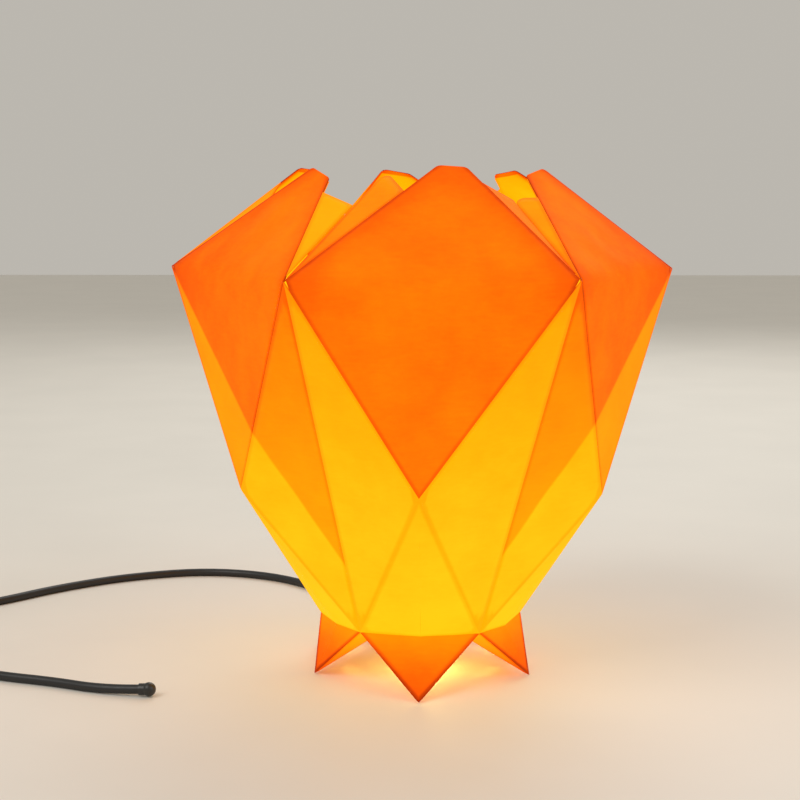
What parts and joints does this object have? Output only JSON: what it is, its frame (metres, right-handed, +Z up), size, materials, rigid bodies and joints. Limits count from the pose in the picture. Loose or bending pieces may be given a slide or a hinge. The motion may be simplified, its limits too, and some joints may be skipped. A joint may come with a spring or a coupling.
{
  "type": "table lamp",
  "caption": "Faceted paper table lamp: folded kite-shaped petals narrow to a neck and flare into pointed feet, round a push-in bulb on a plate, with a thin black lead.",
  "frame": {"origin": "on the table, under the middle of the shade", "axes": "+Z up, the front towards -Y, +X to the right as seen from the front"},
  "size_m": [0.4497, 0.2969, 0.2473],
  "materials": {
    "paper": "matt folded card, lit from within",
    "plate_steel": "satin white",
    "thread_steel": "zinc plated",
    "cup_steel": "satin white",
    "ceramic": "glazed ceramic",
    "screw_steel": "zinc plated",
    "grip_plastic": "black moulded",
    "cord_sheath": "satin black",
    "bead_plastic": "black moulded",
    "bulb_plastic": "white moulded",
    "pin_metal": "bright plated",
    "light_core": "warm light board",
    "bulb_glass": "frosted"
  },
  "bodies": {
    "lamp": {"petal_1": "paper", "petal_2": "paper", "petal_3": "paper", "petal_4": "paper", "petal_5": "paper", "petal_6": "paper", "holder_plate": "plate_steel", "threaded_tube": "thread_steel", "tube_nut": "thread_steel", "tube_washer": "thread_steel", "holder_cup": "cup_steel", "holder_insert": "ceramic", "insert_screws": "screw_steel", "cord_grip": "grip_plastic", "grip_screw": "screw_steel", "cord_rear": "cord_sheath", "cord_coil": "cord_sheath", "cord_front": "cord_sheath", "cord_end_bead": "bead_plastic"},
    "bulb": {"bulb_base": "bulb_plastic", "bulb_pins": "pin_metal", "bulb_core": "light_core", "bulb_glass": "bulb_glass"}
  },
  "joints": [
    {"name": "bulb_pull", "type": "slide", "parent": "lamp", "child": "bulb", "axis": [0, 0, 1], "range_m": [0, 0.028]}
  ]
}
